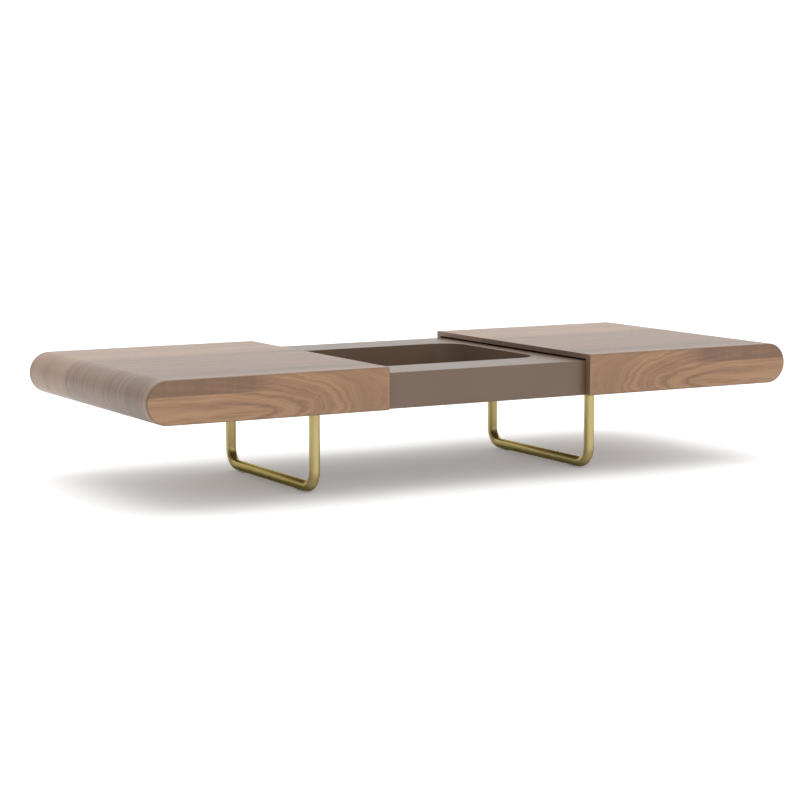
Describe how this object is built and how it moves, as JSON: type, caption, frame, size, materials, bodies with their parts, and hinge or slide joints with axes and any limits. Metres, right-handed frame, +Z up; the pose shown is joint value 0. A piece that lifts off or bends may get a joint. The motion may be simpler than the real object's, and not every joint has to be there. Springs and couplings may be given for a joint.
{
  "type": "sliding top coffee table",
  "caption": "Low coffee table whose round-ended wood covers slide apart over a lacquered box with a storage recess, on U-shaped brass tube legs.",
  "frame": {"origin": "on the floor, under the middle of the opened table's length and width", "axes": "+X along the length towards the right cover, +Y towards the back, +Z up"},
  "size_m": [1.754, 0.72, 0.304],
  "materials": {
    "walnut_veneer": "satin clear lacquer",
    "taupe_lacquer": "satin taupe lacquer",
    "beech": "bare, sanded",
    "satin_brass": "satin",
    "zinc_steel": "zinc plated",
    "felt": "felt",
    "nylon": "matte"
  },
  "bodies": {
    "base": {"back_rail": "taupe_lacquer", "bottom_panel": "taupe_lacquer", "deck": "taupe_lacquer", "floor_glides": "nylon", "front_rail": "taupe_lacquer", "left_back_leg_plate": "satin_brass", "left_back_runner_outer": "zinc_steel", "left_end_panel": "taupe_lacquer", "left_front_leg_plate": "satin_brass", "left_front_runner_outer": "zinc_steel", "left_leg_batten": "beech", "left_leg_tube": "satin_brass", "right_back_leg_plate": "satin_brass", "right_back_runner_outer": "zinc_steel", "right_end_panel": "taupe_lacquer", "right_front_leg_plate": "satin_brass", "right_front_runner_outer": "zinc_steel", "right_leg_batten": "beech", "right_leg_tube": "satin_brass", "tray_floor": "taupe_lacquer", "tray_wall": "taupe_lacquer"},
    "left_cover": {"left_arm_brackets": "zinc_steel", "left_back_apron": "walnut_veneer", "left_back_arm": "beech", "left_back_runner_inner": "zinc_steel", "left_end_block": "beech", "left_front_apron": "walnut_veneer", "left_front_arm": "beech", "left_front_runner_inner": "zinc_steel", "left_shell": "walnut_veneer", "left_top_glides": "felt"},
    "right_cover": {"right_arm_brackets": "zinc_steel", "right_back_apron": "walnut_veneer", "right_back_arm": "beech", "right_back_runner_inner": "zinc_steel", "right_end_block": "beech", "right_front_apron": "walnut_veneer", "right_front_arm": "beech", "right_front_runner_inner": "zinc_steel", "right_shell": "walnut_veneer", "right_top_glides": "felt"},
    "left_runner_middles": {"left_back_runner_middle": "zinc_steel", "left_front_runner_middle": "zinc_steel"},
    "right_runner_middles": {"right_back_runner_middle": "zinc_steel", "right_front_runner_middle": "zinc_steel"}
  },
  "joints": [
    {"name": "left_cover_slide", "type": "slide", "parent": "base", "child": "left_cover", "axis": [1, 0, 0], "range_m": [-0.032, 0.26]},
    {"name": "right_cover_slide", "type": "slide", "parent": "base", "child": "right_cover", "axis": [-1, 0, 0], "range_m": [0, 0.292]},
    {"name": "left_runner_slide", "type": "slide", "parent": "base", "child": "left_runner_middles", "axis": [1, 0, 0], "range_m": [-0.016, 0.13]},
    {"name": "right_runner_slide", "type": "slide", "parent": "base", "child": "right_runner_middles", "axis": [-1, 0, 0], "range_m": [0, 0.146]}
  ],
  "couplings": [
    {"joint": "left_runner_slide", "follows": "left_cover_slide", "ratio": 0.5},
    {"joint": "right_runner_slide", "follows": "right_cover_slide", "ratio": 0.5}
  ]
}
